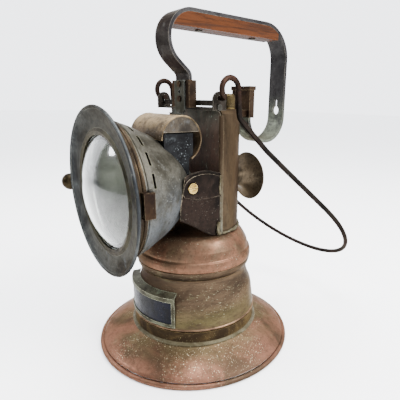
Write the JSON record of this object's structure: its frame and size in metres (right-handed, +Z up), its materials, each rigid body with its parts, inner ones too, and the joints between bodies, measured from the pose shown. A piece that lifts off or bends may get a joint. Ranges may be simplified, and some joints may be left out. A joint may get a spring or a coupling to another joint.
{
  "type": "carbide lamp",
  "caption": "Upright acetylene hand lamp: flared foot with carbide pot, gas bell, water tank, round lens head, strap handle with wooden grip and a swinging wire bail.",
  "frame": {"origin": "middle of the flat ring under the foot, where the lamp stands", "axes": "+Z up along the pot and the bell, -Y towards the front where the lamp shines, +X towards the door's hinge"},
  "size_m": [0.16, 0.2324, 0.2522],
  "materials": {
    "foot_copper": "tarnished copper sheet with yellow speckle",
    "solder": "dull tin solder",
    "pot_brass": "dark stained brass sheet",
    "tinplate": "dull tinplate",
    "bell_copper": "tarnished copper sheet",
    "dome_copper": "warm tarnished copper",
    "gasket_rubber": "aged rubber",
    "plate_brass": "worn brass edge",
    "plate_blue": "dark blue paint, worn",
    "tank_brass": "olive tarnished brass",
    "front_sheet": "dark reddish brown oxide",
    "wing_steel": "dull tinned sheet",
    "screw_brass": "bright worn brass",
    "zinc_sheet": "oxidised zinc, chalky",
    "reflector_metal": "dulled silvering",
    "pipe_brass": "tarnished brass",
    "burner_ceramic": "unglazed steatite",
    "flue_sheet": "dark blue heat tint with chalky spots",
    "hinge_brass": "brown tarnished brass",
    "bar_steel": "dark rusty steel",
    "rivet_metal": "dull steel",
    "socket_brass": "brown brass",
    "tongue_steel": "light grey worn steel",
    "rivet_copper": "copper rivet",
    "strap_iron": "black iron with pale patina",
    "grip_wood": "worn orange brown wood",
    "ring_brass": "dull brass beads",
    "hood_metal": "dark grey",
    "bezel_brass": "greenish brass",
    "lens_glass": "old clear glass",
    "ball_brass": "dark brass",
    "knob_brass": "olive brown brass",
    "cap_brass": "knurled brass",
    "bail_wire": "rusty steel wire"
  },
  "bodies": {
    "base": {"foot_skirt": "foot_copper", "foot_wire": "foot_copper", "foot_solder": "solder", "pot": "pot_brass", "carbide_basket": "tinplate"},
    "lamp": {"bell": "bell_copper", "dome": "dome_copper", "gasket": "gasket_rubber", "nameplate_frame": "plate_brass", "nameplate_panel": "plate_blue", "tank": "tank_brass", "front_plate": "front_sheet", "wing_right": "wing_steel", "wing_left": "wing_steel", "wing_screws": "screw_brass", "head_bosses": "zinc_sheet", "housing": "zinc_sheet", "reflector": "reflector_metal", "gas_pipe": "pipe_brass", "burner_tip": "burner_ceramic", "flue": "flue_sheet", "cowl": "zinc_sheet", "cowl_baffles": "flue_sheet", "hinge_knuckle": "hinge_brass", "bail_bar": "bar_steel", "bar_rivets": "rivet_metal", "socket_front": "socket_brass", "socket_tongue": "tongue_steel", "tongue_rivets": "rivet_copper", "strap": "strap_iron", "grip": "grip_wood", "grip_rivets": "rivet_metal", "socket_rear": "socket_brass", "socket_bracket": "hinge_brass", "gland": "pipe_brass", "drip_tube": "pipe_brass", "filler_neck": "pipe_brass"},
    "door": {"door_ring": "ring_brass", "lens_hood": "hood_metal", "lens_ring": "bezel_brass", "lens": "lens_glass", "door_leaf": "hinge_brass", "hinge_pin": "rivet_metal", "latch_ears": "hinge_brass", "latch_pin": "rivet_metal"},
    "latch": {"latch_lever": "bar_steel", "latch_ball": "ball_brass"},
    "knob": {"valve_knob": "knob_brass", "knob_cap": "knob_brass", "knob_screw": "rivet_metal", "valve_spindle": "pipe_brass"},
    "needle": {"needle_rod": "pipe_brass"},
    "cap": {"filler_cap": "cap_brass"},
    "bail": {"bail": "bail_wire"}
  },
  "joints": [
    {"name": "lamp_lift", "type": "slide", "parent": "base", "child": "lamp", "axis": [0, 0, 1], "range_m": [0, 0.06]},
    {"name": "door_hinge", "type": "hinge", "parent": "lamp", "child": "door", "pos_m": [0.0503, -0.0642, 0.132], "axis": [0, 0, 1], "range_deg": [0, 100]},
    {"name": "latch_turn", "type": "hinge", "parent": "door", "child": "latch", "pos_m": [-0.053, -0.0685, 0.1293], "axis": [0, 0, 1], "range_deg": [0, 8], "stiffness_Nm_per_rad": 0.02},
    {"name": "knob_turn", "type": "hinge", "parent": "lamp", "child": "knob", "pos_m": [0, 0.045, 0.1305], "axis": [0, -1, 0], "range_deg": [0, 60]},
    {"name": "needle_lift", "type": "slide", "parent": "lamp", "child": "needle", "axis": [0, 0, 1], "range_m": [0, 0.0051]},
    {"name": "cap_lift", "type": "slide", "parent": "lamp", "child": "cap", "axis": [0, 0, 1], "range_m": [0, 0.012]},
    {"name": "bail_swing", "type": "hinge", "parent": "lamp", "child": "bail", "pos_m": [0, -0.0027, 0.1944], "axis": [1, 0, 0], "range_deg": [0, 180]}
  ],
  "couplings": [
    {"joint": "needle_lift", "follows": "knob_turn", "m_per_rad": 0.004775}
  ]
}
